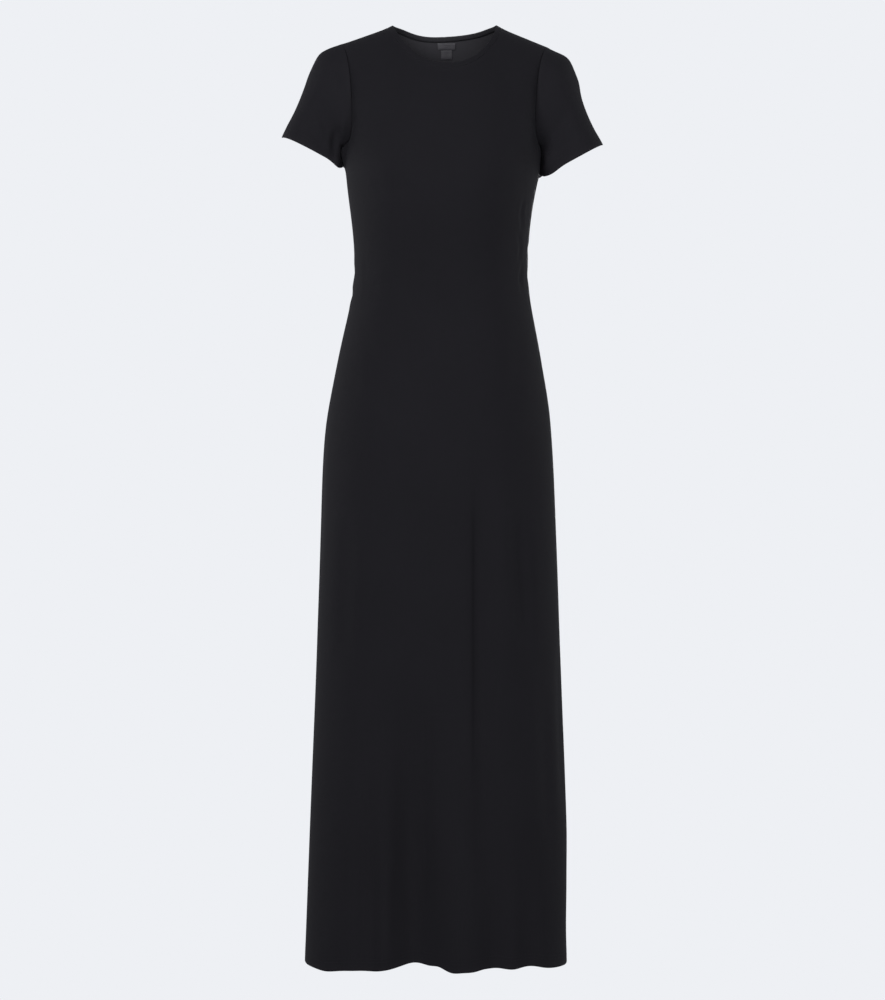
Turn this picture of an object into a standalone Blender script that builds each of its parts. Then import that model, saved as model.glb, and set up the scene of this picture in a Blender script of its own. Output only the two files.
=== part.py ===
"""A short-sleeved maxi dress in black jersey, hollow and open as it stands when worn.

Run it with blender --background --python part.py, or from Blender's text editor.

The frame: +Z is up, -Y is the front and +X is the wearer's left. The origin is on the shoulder line,
midway between the two side neck points. Sizes are in millimetres; to_metres() turns them into metres.

The outer face of each cut piece is a grid of points. Neighbouring grids share their points along a seam. One
set of normals over the whole garment gives every wall its inner face, so that the walls meet in a mitre, and
each piece is then drawn back from its seams by half the gap.
"""

import math
from collections import namedtuple

import bmesh
import bpy
from mathutils import Vector

# Cloth
WALL = 1.6
HEM_WALL = 2.6
HEM_DEPTH = 20.0
HEM_STEP = 2.0
HEM_ROWS = 2
SEAM_GAP = 0.3
LEAST_MITRE = 0.6
SHARP_ANGLE = math.radians(45)

# Grid: columns across a panel, those of them that end on each shoulder seam, and rows up it. Columns crowd
# towards the middle, where the folds are, and rows towards the underarm.
COLUMNS = 40
SHOULDER_COLUMNS = 8
COLUMN_CROWDING = 0.38
BODY_ROWS = 19
ROW_CROWDING = 1.25
YOKE_ROWS = 12
SLEEVE_ROWS = 7
STATION_STEP = 0.002

# Search for a place on the yoke
FIRST_RISE = 0.8
NEWTON_STEPS = 12
NEWTON_PROBE = 1e-4
OUTSET_STEPS = 4

FRONT, BACK = -1, 1
RIGHT_ARM, LEFT_ARM = -1, 1

# Body: one row for each level, from the underarm to the hem. right and left are the reach of the wearer's
# right and left side from the middle, front and back the depth before and behind the side seams.
Section = namedtuple("Section", "level right left front back")
SECTIONS = (
    Section(level=-182, right=147.0, left=144.5, front=113, back=98),
    Section(level=-206, right=149.5, left=146.5, front=117, back=98),
    Section(level=-230, right=147.0, left=140.5, front=120, back=96),
    Section(level=-261, right=144.0, left=133.5, front=121, back=92),
    Section(level=-306, right=137.5, left=127.5, front=112, back=84),
    Section(level=-351, right=134.5, left=124.5, front=102, back=78),
    Section(level=-411, right=140.0, left=128.5, front=97, back=83),
    Section(level=-471, right=154.0, left=140.0, front=98, back=96),
    Section(level=-531, right=166.0, left=150.0, front=101, back=108),
    Section(level=-591, right=176.5, left=159.0, front=103, back=114),
    Section(level=-651, right=182.5, left=163.0, front=103, back=115),
    Section(level=-741, right=185.0, left=166.5, front=102, back=112),
    Section(level=-861, right=189.0, left=171.0, front=100, back=108),
    Section(level=-981, right=193.0, left=175.0, front=98, back=105),
    Section(level=-1161, right=200.5, left=182.0, front=96, back=103),
    Section(level=-1281, right=205.0, left=183.0, front=95, back=103),
    Section(level=-1440, right=211.0, left=184.0, front=94, back=103),
)
ROUNDNESS = 2.3
HEM_LEVEL = -1403.5

# Bust: a soft fullness on each side of the middle
BUST_FULLNESS = 5.0
BUST_LEVEL = -250.0
BUST_OFFSET = 72.0
BUST_WIDTH = 48.0
BUST_HEIGHT = 52.0

# Folds: one row for each trough (depth above 0) or lobe (depth below 0). It starts at x_start on level start
# and reaches x_hem at the hem, which it lifts by lift. It has its depth from level full down, or from full to
# fade where it is gone again at end. right and left are its widths towards the wearer's right and left.
Fold = namedtuple("Fold", "side x_start x_hem start full fade end depth right left lift")
FOLDS = (
    #    side  x_start x_hem  start   full   fade    end depth right left lift
    Fold(FRONT, -57,   -47,   -900, -1330,  None,  None,   30,   30,  41,  8.5),
    Fold(FRONT,  50,    56,   -640,  -790, -1080, -1330,    8,   11,  24,  0.0),
    Fold(FRONT,  66,    78,  -1120, -1390,  None,  None,   12,   21,  20,  5.3),
    Fold(FRONT, -114, -112,  -1080, -1300,  None,  None,    8,   15,  15,  0.5),
    Fold(FRONT,  116,  126,  -1180, -1400,  None,  None,    9,   16,  19,  5.8),
    Fold(FRONT,  118,  122,   -640,  -720,  -820,  -960,    4,   17,  17,  0.0),
    Fold(FRONT,  14,    24,  -1050, -1390,  None,  None,   -5,   22,  22,  0.5),
    Fold(BACK,  -96,  -104,   -860, -1340,  None,  None,   17,   24,  26,  3.0),
    Fold(BACK,  -14,   -20,   -760, -1300,  None,  None,   22,   29,  29,  4.0),
    Fold(BACK,   62,    70,   -700, -1180,  None,  None,   17,   24,  25,  2.0),
    Fold(BACK,  124,   132,  -1060, -1380,  None,  None,   10,   16,  16,  2.0),
    Fold(BACK,  -50,   -62,   -980, -1390,  None,  None,   -6,   19,  19,  0.0),
    Fold(BACK,   26,    28,   -980, -1390,  None,  None,   -5,   19,  19,  0.0),
)
SEAM_CALM = 0.25

# Neckline: the finished edge in plan, and the binding that joins it to the panels
NECK_HALF_WIDTH = 77.5
NECK_FRONT_REACH = 67.0
NECK_BACK_REACH = 46.0
NECK_FRONT_SHIFT = 4.0
NECK_SIDE_SHAPE = 0.82
NECK_FRONT_SHAPE = 0.85
NECK_BACK_SHAPE = 1.3
BINDING_WIDTH = 9.0
BINDING_WALL = 2.4
BINDING_ROWS = 3

# Sleeves: one row for each ring, from the armhole to the hem, for each arm. crown and under are the levels of
# the ring on top and under the arm, and crown_x is how far out its top lies. clear is the space between its
# underside and the body, and lean how far back that is. front and back are its depths, hollow is how far it
# bows towards the body, and drop and lift are how far its front hangs down and its back rides up.
Ring = namedtuple("Ring", "crown_x crown_z under_z clear lean front back hollow drop lift")
SLEEVE_RINGS = {
    RIGHT_ARM: (
        Ring(157, -28, SECTIONS[0].level, clear=0, lean=0, front=46, back=50, hollow=14, drop=0, lift=0),
        Ring(175, -35, -183.5, clear=2.6, lean=5, front=48, back=52, hollow=8, drop=0, lift=1),
        Ring(190, -44, -187, clear=2.6, lean=12, front=49, back=53, hollow=4, drop=0, lift=3),
        Ring(201, -65, -191, clear=2.2, lean=18, front=48, back=51, hollow=2, drop=0, lift=5),
        Ring(209, -87, -195, clear=2.2, lean=21, front=47, back=48, hollow=1, drop=0, lift=7),
        Ring(217, -109, -199, clear=2.2, lean=23, front=46, back=45, hollow=0, drop=0, lift=9),
        Ring(227, -132, -204, clear=2.2, lean=24, front=46, back=42, hollow=0, drop=0, lift=10),
        Ring(236, -149, -209, clear=2.2, lean=25, front=46, back=40, hollow=0, drop=0, lift=11),
        Ring(243.5, -166, -214.5, clear=2.2, lean=25, front=46, back=38, hollow=0, drop=1, lift=12),
    ),
    LEFT_ARM: (
        Ring(156, -32, SECTIONS[0].level, clear=0, lean=0, front=46, back=50, hollow=14, drop=0, lift=0),
        Ring(173, -40, -184, clear=2.6, lean=5, front=48, back=52, hollow=8, drop=0, lift=1),
        Ring(188, -52, -189, clear=2.6, lean=12, front=49, back=53, hollow=4, drop=0, lift=3),
        Ring(197, -74, -195, clear=2.2, lean=18, front=48, back=51, hollow=2, drop=1, lift=5),
        Ring(203, -97, -201, clear=2.2, lean=21, front=47, back=48, hollow=1, drop=2, lift=7),
        Ring(209.5, -119, -207, clear=2.2, lean=23, front=46, back=45, hollow=0, drop=2.5, lift=8),
        Ring(219, -142, -213, clear=2.2, lean=24, front=46, back=42, hollow=0, drop=3, lift=8),
        Ring(228, -160, -221, clear=2.2, lean=25, front=46, back=40, hollow=0, drop=3.5, lift=8),
        Ring(237, -177, -228, clear=2.2, lean=25, front=46, back=38, hollow=0, drop=4, lift=8),
    ),
}
SLEEVE_FULLNESS = 2.2

# Yoke: how far below the underarm it starts in the middle, the line of the shoulders, and how hard the cloth
# leaves the chest and rolls over the shoulder
UNDERARM_DIP = 42.0
SHOULDER_SETBACK = 4.0
SHOULDER_ARCH = 13.0
SHOULDER_SPREAD = 0.5
CHEST_LIFT = 165.0
NECK_PULL = {FRONT: 165.0, BACK: 250.0}
SHOULDER_PULL = 215.0
OVER_SHOULDER = 0.06
ARMHOLE_REACH = 0.45

# Labels inside the back of the neck: a woven one that hangs from the neck seam and a size tab below it
LABEL_WALL = 1.0
LABEL_STANDOFF = 0.45
LABEL_MIDDLE = 3.0
LABEL_CELLS = 3
LABEL_BELOW_SEAM = 0.5
LABEL_WIDTH = 27.0
LABEL_DROP = 10.5
TAB_BELOW_SEAM = 12.0
TAB_WIDTH = 17.0
TAB_DROP = 14.0

JERSEY_BLACK = (0.0155, 0.0147, 0.0192)
JERSEY_ROUGHNESS = 0.85
LABEL_GREY = (0.055, 0.053, 0.062)
LABEL_ROUGHNESS = 0.5


def to_metres(point):
    return point * 0.001


def clamp(value):
    return min(1.0, max(0.0, value))


def smooth_step(share):
    share = clamp(share)
    return share * share * (3 - 2 * share)


def mix(first, second, share):
    return first + (second - first) * share


def signed_power(value, power):
    return math.copysign(abs(value) ** power, value)


def bell(distance, width):
    return math.exp(-((distance / width) ** 2))


def hermite(start, end, start_pull, end_pull, share):
    """The point at share of a curve that leaves start along start_pull and comes to end along end_pull."""
    square, cube = share * share, share**3
    return (
        start * (2 * cube - 3 * square + 1)
        + start_pull * (cube - 2 * square + share)
        + end * (3 * square - 2 * cube)
        + end_pull * (cube - square)
    )


def through(knots, at):
    """The value at a place on the smooth curve through knots, which are (place, value) in rising order."""
    at = min(max(at, knots[0][0]), knots[-1][0])
    last = len(knots) - 2
    i = next((k for k in range(last) if at <= knots[k + 1][0]), last)

    def slope(k):
        low, high = max(k - 1, 0), min(k + 1, len(knots) - 1)
        return (knots[high][1] - knots[low][1]) / (knots[high][0] - knots[low][0])

    (place, value), (next_place, next_value) = knots[i], knots[i + 1]
    span = next_place - place
    return hermite(value, next_value, slope(i) * span, slope(i + 1) * span, (at - place) / span)


def section_at(level):
    """The body's sizes at a level, read from the smooth curves through SECTIONS."""
    levels = [section.level for section in reversed(SECTIONS)]
    return Section(*(through(list(zip(levels, sizes)), level) for sizes in zip(*reversed(SECTIONS))))


def fold_share(fold, x, level):
    """How much of a fold's depth there is at x on a level, from 0 to 1."""
    along = clamp((fold.start - level) / (fold.start - HEM_LEVEL))
    off = x - mix(fold.x_start, fold.x_hem, along)
    strength = smooth_step((fold.start - level) / (fold.start - fold.full))
    if fold.end is not None:
        strength *= smooth_step((level - fold.end) / (fold.fade - fold.end))
    return strength * bell(off, fold.right if off < 0 else fold.left)


def bust_fullness(side, x, level):
    if side == BACK:
        return 0.0
    across = bell(x - BUST_OFFSET, BUST_WIDTH) + bell(x + BUST_OFFSET, BUST_WIDTH)
    return BUST_FULLNESS * across * bell(level - BUST_LEVEL, BUST_HEIGHT)


def away_from_seams(across):
    """0 at the side seams, where front and back have to meet, and 1 a little way in."""
    return smooth_step((1 - abs(across)) / SEAM_CALM)


def sideways_share(across):
    """How far out a column lies, as a share of the reach, so that the columns crowd in the middle."""
    angle = (across * (1 - COLUMN_CROWDING) + across**3 * COLUMN_CROWDING) * math.pi / 2
    return signed_power(math.sin(angle), 2 / ROUNDNESS)


def body_point(side, across, level):
    """A point of the body's outer face: across runs from -1 at the right side seam to 1 at the left one."""
    size = section_at(level)
    reach = size.left if across > 0 else size.right
    depth = size.front if side == FRONT else size.back
    x = reach * sideways_share(across)
    y = side * depth * (1 - abs(x / reach) ** ROUNDNESS) ** (1 / ROUNDNESS)
    outward = Vector((x / reach**2, y / depth**2, 0.0)).normalized()
    trough = sum(f.depth * fold_share(f, x, level) for f in FOLDS if f.side == side)
    relief = (bust_fullness(side, x, level) - trough) * away_from_seams(across)
    return Vector((x, y, level)) + outward * relief


def hem_level(side, across):
    """The level of the hem's edge, which the folds lift a little."""
    x = body_point(side, across, HEM_LEVEL).x
    lift = sum(f.lift * fold_share(f, x, HEM_LEVEL) for f in FOLDS if f.side == side)
    return HEM_LEVEL + lift * away_from_seams(across)


def underarm_level(across):
    """The level where the yoke starts: the underarm at the side seams, and lower towards the middle."""
    return SECTIONS[0].level - UNDERARM_DIP * (1 - abs(across) ** 3)


def sleeve_ring(arm, station):
    """The ring at a station from 0 at the armhole to 1 at the hem, read from the curves through the table."""
    rings = SLEEVE_RINGS[arm]
    places = [i / (len(rings) - 1) for i in range(len(rings))]
    return Ring(*(through(list(zip(places, sizes)), station) for sizes in zip(*rings)))


def sleeve_point(arm, station, turn):
    """A point of a sleeve's outer face: turn is 0 at the crown, 0.25 in front, 0.5 underarm, 0.75 behind."""
    ring = sleeve_ring(arm, station)
    angle = 2 * math.pi * turn
    body = section_at(ring.under_z)
    reach = body.left if arm == LEFT_ARM else body.right
    under_x = reach * (1 - (ring.lean / body.back) ** ROUNDNESS) ** (1 / ROUNDNESS) + ring.clear
    crown = Vector((arm * ring.crown_x, SHOULDER_SETBACK, ring.crown_z))
    under = Vector((arm * under_x, ring.lean, ring.under_z))
    point = mix(under, crown, (1 + signed_power(math.cos(angle), 2 / SLEEVE_FULLNESS)) / 2)
    sideways = abs(math.sin(angle)) ** (2 / SLEEVE_FULLNESS)
    ahead = math.sin(angle) > 0
    point.x -= arm * ring.hollow * sideways
    point.y += -ring.front * sideways if ahead else ring.back * sideways
    point.z += -ring.drop * sideways if ahead else ring.lift * sideways
    return point


def armhole_point(side, arm, rise):
    """A point of the armhole, from the underarm at rise 0 to the shoulder at rise 1."""
    return sleeve_point(arm, 0.0, 0.5 + side * rise / 2)


def shoulder_line(across):
    """A point of the shoulder seams and, between them, of the arch that they would make over the neck."""
    crown = SLEEVE_RINGS[LEFT_ARM if across > 0 else RIGHT_ARM][0]
    x = crown.crown_x * mix(across, sideways_share(across), SHOULDER_SPREAD)
    beyond = abs(x) - NECK_HALF_WIDTH
    if beyond > 0:
        z = crown.crown_z * beyond / (crown.crown_x - NECK_HALF_WIDTH)
    else:
        z = SHOULDER_ARCH * (1 - (x / NECK_HALF_WIDTH) ** 2)
    return Vector((x, SHOULDER_SETBACK, z))


def yoke_point(side, across, rise):
    """A point of the outer face above the underarm, from rise 0 there to rise 1 at the shoulder line."""

    def loft(place):
        level = underarm_level(place)
        foot = body_point(side, place, level)
        lift = (foot - body_point(side, place, level - 1)).normalized() * CHEST_LIFT
        over = Vector((0.0, -side, OVER_SHOULDER)) * mix(NECK_PULL[side], SHOULDER_PULL, abs(place))
        return hermite(foot, shoulder_line(place), lift, over, rise)

    arm = LEFT_ARM if across > 0 else RIGHT_ARM
    pull = clamp((abs(across) - ARMHOLE_REACH) / (1 - ARMHOLE_REACH)) ** 2
    if pull == 0:
        return loft(across)
    return loft(across) + (armhole_point(side, arm, rise) - loft(arm)) * pull


def place_on_yoke(side, x, y):
    """The across and rise of the yoke's point that has this x and y, found by Newton's method."""
    across, rise = x / SLEEVE_RINGS[RIGHT_ARM][0].crown_x, FIRST_RISE
    for _ in range(NEWTON_STEPS):
        here = yoke_point(side, across, rise)
        along = (yoke_point(side, across + NEWTON_PROBE, rise) - here) / NEWTON_PROBE
        up = (yoke_point(side, across, rise - NEWTON_PROBE) - here) / -NEWTON_PROBE
        off_x, off_y = x - here.x, y - here.y
        area = along.x * up.y - along.y * up.x
        across += (off_x * up.y - off_y * up.x) / area
        rise += (along.x * off_y - along.y * off_x) / area
    return across, rise


def neck_place(side, turn, outset):
    """The across and rise of a point that lies outset along the cloth from the finished neckline. turn is
    the angle from the middle of the front or back."""
    ahead = abs(math.cos(turn))
    x = signed_power(math.sin(turn), NECK_SIDE_SHAPE) * NECK_HALF_WIDTH
    y = SHOULDER_SETBACK * (1 - ahead)
    if side == FRONT:
        x += NECK_FRONT_SHIFT * ahead
        y -= NECK_FRONT_REACH * ahead**NECK_FRONT_SHAPE
    else:
        y += NECK_BACK_REACH * ahead**NECK_BACK_SHAPE
    place = place_on_yoke(side, x, y)
    edge = yoke_point(side, *place)
    step = outset
    for _ in range(OUTSET_STEPS if outset > 0 else 0):
        place = place_on_yoke(side, x + math.sin(turn) * step, y + side * ahead * step)
        step *= outset / (yoke_point(side, *place) - edge).length
    return place


def top_place(side, across):
    """The across and rise at which a column ends: on the neck seam or, beyond it, on a shoulder seam."""
    neck_share = 1 - 2 * SHOULDER_COLUMNS / COLUMNS
    turn = max(-1.0, min(1.0, across / neck_share)) * math.pi / 2
    place, rise = neck_place(side, turn, BINDING_WIDTH)
    if abs(across) < neck_share:
        return place, rise
    along = (abs(across) - neck_share) / (1 - neck_share)
    return mix(place, math.copysign(1.0, across), along), 1.0


def panel_heights():
    """The rows of a panel below the underarm, as shares of the way up from the hem."""
    length = SECTIONS[0].level - HEM_LEVEL
    hem_rows = [0.0, HEM_DEPTH / length, (HEM_DEPTH + HEM_STEP) / length]
    rows = [1 - (1 - i / BODY_ROWS) ** ROW_CROWDING for i in range(1, BODY_ROWS + 1)]
    return hem_rows + rows


def panel_grid(side):
    """The outer face of the front or back: rows from the hem up, columns from the right side to the left."""
    places = [2 * c / COLUMNS - 1 for c in range(COLUMNS + 1)]
    grid = []
    for share in panel_heights():
        levels = [mix(hem_level(side, p), underarm_level(p), share) for p in places]
        grid.append([body_point(side, p, level) for p, level in zip(places, levels)])
    tops = [top_place(side, p) for p in places]
    for share in [row / YOKE_ROWS for row in range(1, YOKE_ROWS + 1)]:
        ends = zip(places, tops)
        grid.append([yoke_point(side, mix(p, top, share), rise * share) for p, (top, rise) in ends])
    return grid


def station_before_hem(arm, turn, distance):
    """The station at which a sleeve's column still has this distance to go to the hem."""
    walked, station = 0.0, 1.0
    while walked < distance:
        station -= STATION_STEP
        walked += (sleeve_point(arm, station, turn) - sleeve_point(arm, station + STATION_STEP, turn)).length
    return station


def sleeve_grid(arm):
    """The outer face of a sleeve: rows from the armhole to the hem, and a column for each armhole point."""
    columns = []
    for c in range(2 * YOKE_ROWS):
        turn = c / (2 * YOKE_ROWS)
        hem = station_before_hem(arm, turn, HEM_DEPTH)
        step = station_before_hem(arm, turn, HEM_DEPTH + HEM_STEP)
        stations = [step * r / SLEEVE_ROWS for r in range(SLEEVE_ROWS + 1)] + [hem, 1.0]
        columns.append([sleeve_point(arm, station, turn) for station in stations])
    return [list(row) for row in zip(*columns)]


def binding_grid():
    """The outer face of the neck binding: rows from the seam to the finished edge, columns all round."""
    steps = COLUMNS - 2 * SHOULDER_COLUMNS
    turns = [(FRONT, (i / steps - 0.5) * math.pi) for i in range(steps)]
    turns += [(BACK, (0.5 - i / steps) * math.pi) for i in range(steps)]
    outsets = [BINDING_WIDTH * (1 - r / (BINDING_ROWS - 1)) for r in range(BINDING_ROWS)]
    return [[yoke_point(side, *neck_place(side, turn, outset)) for side, turn in turns] for outset in outsets]


def grid_faces(rows, columns, wraps, flipped):
    """The quads of a grid as (row, column) corners, wound so that they face outwards."""
    faces = []
    for r in range(rows - 1):
        for c in range(columns if wraps else columns - 1):
            n = (c + 1) % columns
            quad = [(r, c), (r, n), (r + 1, n), (r + 1, c)]
            faces.append(quad[::-1] if flipped else quad)
    return faces


def weld_key(point):
    return tuple(round(size, 2) for size in point)


def normals_of(pieces):
    """The outward normal at each point of the pieces' outer faces, shared where their points meet."""
    mesh = bmesh.new()
    corners = {}
    for piece in pieces:
        for quad in piece.faces:
            keys = [weld_key(piece.grid[r][c]) for r, c in quad]
            for key, (r, c) in zip(keys, quad):
                if key not in corners:
                    corners[key] = mesh.verts.new(piece.grid[r][c])
            distinct = list(dict.fromkeys(keys))
            if len(distinct) > 2:
                mesh.faces.new([corners[key] for key in distinct])
    mesh.normal_update()
    normals = {key: vertex.normal.copy() for key, vertex in corners.items()}
    mesh.free()
    return normals


class Piece:
    """One cut piece: its grid, the thickness of its wall on each row, and which of its edges are sewn."""

    def __init__(self, name, grid, walls, sewn, wraps, flipped):
        self.name, self.grid, self.walls, self.sewn, self.wraps = name, grid, walls, sewn, wraps
        self.rows, self.columns = len(grid), len(grid[0])
        self.faces = grid_faces(self.rows, self.columns, wraps, flipped)

    def neighbours(self, r, c, edge):
        """The points before and after (r, c) along an edge, and the next point into the piece."""
        last_row, last_column = self.rows - 1, self.columns - 1
        if edge in ("bottom", "top"):
            if self.wraps:
                before, after = self.grid[r][c - 1], self.grid[r][(c + 1) % self.columns]
            else:
                before, after = self.grid[r][max(c - 1, 0)], self.grid[r][min(c + 1, last_column)]
            inside = self.grid[r + 1 if edge == "bottom" else r - 1][c]
        else:
            before, after = self.grid[max(r - 1, 0)][c], self.grid[min(r + 1, last_row)][c]
            inside = self.grid[r][c + 1 if edge == "start" else c - 1]
        return before, after, inside

    def edges_at(self, r, c):
        """The sewn edges that (r, c) lies on."""
        found = []
        if r == 0:
            found.append("bottom")
        if r == self.rows - 1:
            found.append("top")
        if not self.wraps and c == 0:
            found.append("start")
        if not self.wraps and c == self.columns - 1:
            found.append("end")
        return [edge for edge in found if edge in self.sewn]

    def drawn_back(self, r, c, normal):
        """The step that takes (r, c) half a seam gap back from each sewn edge that it lies on."""
        step = Vector((0.0, 0.0, 0.0))
        for edge in self.edges_at(r, c):
            before, after, inside = self.neighbours(r, c, edge)
            across = (after - before).cross(normal).normalized()
            if across.dot(inside - self.grid[r][c]) < 0:
                across.negate()
            step += across * (SEAM_GAP / 2)
        return step


def close_wall(name, faces, outer, inner, material):
    """Makes an object of an outer face, an inner face and the rims between them. outer and inner hold their
    points by (row, column)."""
    mesh = bmesh.new()
    outside = {corner: mesh.verts.new(to_metres(point)) for corner, point in outer.items()}
    inside = {corner: mesh.verts.new(to_metres(point)) for corner, point in inner.items()}
    uses = {}
    for quad in faces:
        mesh.faces.new([outside[corner] for corner in quad])
        mesh.faces.new([inside[corner] for corner in reversed(quad)])
        for a, b in zip(quad, quad[1:] + quad[:1]):
            uses.setdefault(frozenset((a, b)), []).append((a, b))
    rims = [directions[0] for directions in uses.values() if len(directions) == 1]
    for a, b in rims:
        mesh.faces.new([outside[b], outside[a], inside[a], inside[b]])
    bmesh.ops.triangulate(mesh, faces=mesh.faces[:], quad_method="SHORT_EDGE")

    data = bpy.data.meshes.new(name)
    mesh.to_mesh(data)
    mesh.free()
    data.materials.append(material)
    data.shade_smooth()
    data.set_sharp_from_angle(angle=SHARP_ANGLE)
    bpy.context.scene.collection.objects.link(bpy.data.objects.new(name, data))


def build_piece(piece, shared, material):
    """Makes a cut piece's wall, drawn back from its seams and mitred to its neighbours."""
    own = normals_of([piece])
    outer, inner = {}, {}
    for r, row in enumerate(piece.grid):
        for c, point in enumerate(row):
            normal = shared[weld_key(point)]
            mitre = max(LEAST_MITRE, normal.dot(own[weld_key(point)]))
            outer[r, c] = point + piece.drawn_back(r, c, normal)
            inner[r, c] = outer[r, c] - normal * (piece.walls[r] / mitre)
    close_wall(piece.name, piece.faces, outer, inner, material)


def on_grid(grid, row, column):
    """The point at a fractional row and column of a grid."""
    r, c = min(int(row), len(grid) - 2), min(int(column), len(grid[0]) - 2)
    low = mix(grid[r][c], grid[r][c + 1], column - c)
    high = mix(grid[r + 1][c], grid[r + 1][c + 1], column - c)
    return mix(low, high, row - r)


def build_label(name, back, out, below_seam, width, drop, material):
    """A thin tab behind the neck, made from the back's own points moved inwards. out is the back's normal."""
    top, middle = len(back) - 1, COLUMNS // 2
    column_step = (back[top][middle + 1] - back[top][middle]).length
    row_step = (back[top][middle] - back[top - 1][middle]).length
    hidden, shown = {}, {}
    for r in range(LABEL_CELLS + 1):
        row = top - (below_seam + drop * (1 - r / LABEL_CELLS)) / row_step
        for c in range(LABEL_CELLS + 1):
            aside = LABEL_MIDDLE + width * (c / LABEL_CELLS - 0.5)
            point = on_grid(back, row, middle + aside / column_step)
            hidden[r, c] = point - out * (WALL + LABEL_STANDOFF)
            shown[r, c] = hidden[r, c] - out * LABEL_WALL
    close_wall(name, grid_faces(LABEL_CELLS + 1, LABEL_CELLS + 1, False, False), shown, hidden, material)


def make_material(name, colour, roughness):
    material = bpy.data.materials.new(name)
    material.use_nodes = True
    shader = material.node_tree.nodes["Principled BSDF"]
    shader.inputs["Base Color"].default_value = (*colour, 1.0)
    shader.inputs["Roughness"].default_value = roughness
    shader.inputs["Metallic"].default_value = 0.0
    return material


def main():
    for old in list(bpy.data.objects):
        bpy.data.objects.remove(old)

    jersey = make_material("black_jersey", JERSEY_BLACK, JERSEY_ROUGHNESS)
    satin = make_material("label_satin", LABEL_GREY, LABEL_ROUGHNESS)

    front, back = panel_grid(FRONT), panel_grid(BACK)
    right, left, binding = sleeve_grid(RIGHT_ARM), sleeve_grid(LEFT_ARM), binding_grid()
    panel_walls = [HEM_WALL] * HEM_ROWS + [WALL] * (len(front) - HEM_ROWS)
    sleeve_walls = [WALL] * (len(right) - HEM_ROWS) + [HEM_WALL] * HEM_ROWS
    panel_seams, tube_seams = ("start", "end", "top"), ("bottom",)
    pieces = [
        Piece("front", front, panel_walls, panel_seams, wraps=False, flipped=False),
        Piece("back", back, panel_walls, panel_seams, wraps=False, flipped=True),
        Piece("sleeve_right", right, sleeve_walls, tube_seams, wraps=True, flipped=True),
        Piece("sleeve_left", left, sleeve_walls, tube_seams, wraps=True, flipped=False),
        Piece("neck_binding", binding, [BINDING_WALL] * BINDING_ROWS, tube_seams, wraps=True, flipped=False),
    ]
    shared = normals_of(pieces)
    for piece in pieces:
        build_piece(piece, shared, jersey)

    out = shared[weld_key(back[-1][COLUMNS // 2])]
    build_label("neck_label", back, out, LABEL_BELOW_SEAM, LABEL_WIDTH, LABEL_DROP, satin)
    build_label("size_tab", back, out, TAB_BELOW_SEAM, TAB_WIDTH, TAB_DROP, satin)


main()
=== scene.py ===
# %% [markdown]
# # A black jersey maxi dress
# A long dress of fine black jersey with short set-in sleeves and a bound scoop neck, shown filled out as it
# is when somebody wears it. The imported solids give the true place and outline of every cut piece. This lesson
# turns each one into real cloth: thin, creased, turned under at its hems and seams, stitched and knitted.

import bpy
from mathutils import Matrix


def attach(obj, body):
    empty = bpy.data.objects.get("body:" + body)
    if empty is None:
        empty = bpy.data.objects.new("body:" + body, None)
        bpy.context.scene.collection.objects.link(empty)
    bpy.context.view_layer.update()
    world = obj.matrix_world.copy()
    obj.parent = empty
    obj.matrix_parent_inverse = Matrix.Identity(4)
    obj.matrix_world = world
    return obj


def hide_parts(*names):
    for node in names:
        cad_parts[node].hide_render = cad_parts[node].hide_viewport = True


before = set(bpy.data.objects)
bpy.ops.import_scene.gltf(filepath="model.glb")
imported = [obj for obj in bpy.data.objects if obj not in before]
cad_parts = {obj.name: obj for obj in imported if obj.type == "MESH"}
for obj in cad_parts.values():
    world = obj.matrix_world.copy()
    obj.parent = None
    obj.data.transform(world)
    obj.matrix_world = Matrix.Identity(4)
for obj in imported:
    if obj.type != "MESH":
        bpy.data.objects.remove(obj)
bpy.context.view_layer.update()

# %% Tools
import math

import bmesh
import bpy
import numpy as np
from mathutils import Matrix, Vector
from mathutils.bvhtree import BVHTree
from mathutils.kdtree import KDTree

MM = 0.001
PANELS, SLEEVES = ("front", "back"), ("sleeve_right", "sleeve_left")
PIECES = (*PANELS, *SLEEVES, "neck_binding")
scene = bpy.context.scene

# %% [markdown]
# ## Camera and studio
# A catalogue picture of a dress is taken from the height of its middle with a long lens, so that the hem and
# the neck are seen almost level. The room is a bright white cove with a light table for a floor, so the two
# meet without a line. A cove that bright would wash out black cloth, so flags keep two thirds of its light
# away from the dress. Soft boxes shape the cloth instead: a key and a fill in front, a strip behind each side
# for a thin bright edge, one above, a large one behind, a low one for the sleeves and one for the neck.

# %% Camera
camera_data = bpy.data.cameras.new("catalogue_camera")
camera_data.lens = 91.2
camera_data.sensor_width = 36
camera_data.clip_end = 60
camera = bpy.data.objects.new("catalogue_camera", camera_data)
camera.location = (-0.003, -3.8, -0.711)
camera.rotation_euler = (math.radians(90), 0, 0)
scene.collection.objects.link(camera)
scene.camera = camera


# %% Shader nodes
def feed(tree, node, inputs):
    """Sets each named input of a node to a value, or links it to another node's socket."""
    for name, value in inputs.items():
        if isinstance(value, bpy.types.NodeSocket):
            tree.links.new(value, node.inputs[name])
        else:
            node.inputs[name].default_value = value


def add(tree, kind, inputs=None, **settings):
    """A new shader node with these settings and inputs."""
    node = tree.nodes.new("ShaderNode" + kind)
    for name, value in settings.items():
        setattr(node, name, value)
    feed(tree, node, inputs or {})
    return node


def maths(tree, operation, *values):
    """The result of a Math node; each value is a number or another node's socket."""
    return add(tree, "Math", dict(enumerate(values)), operation=operation).outputs[0]


def spread(tree, value, low, high):
    """Takes a value from 0 to 1 to the range from low to high."""
    return maths(tree, "MULTIPLY_ADD", value, high - low, low)


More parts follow.
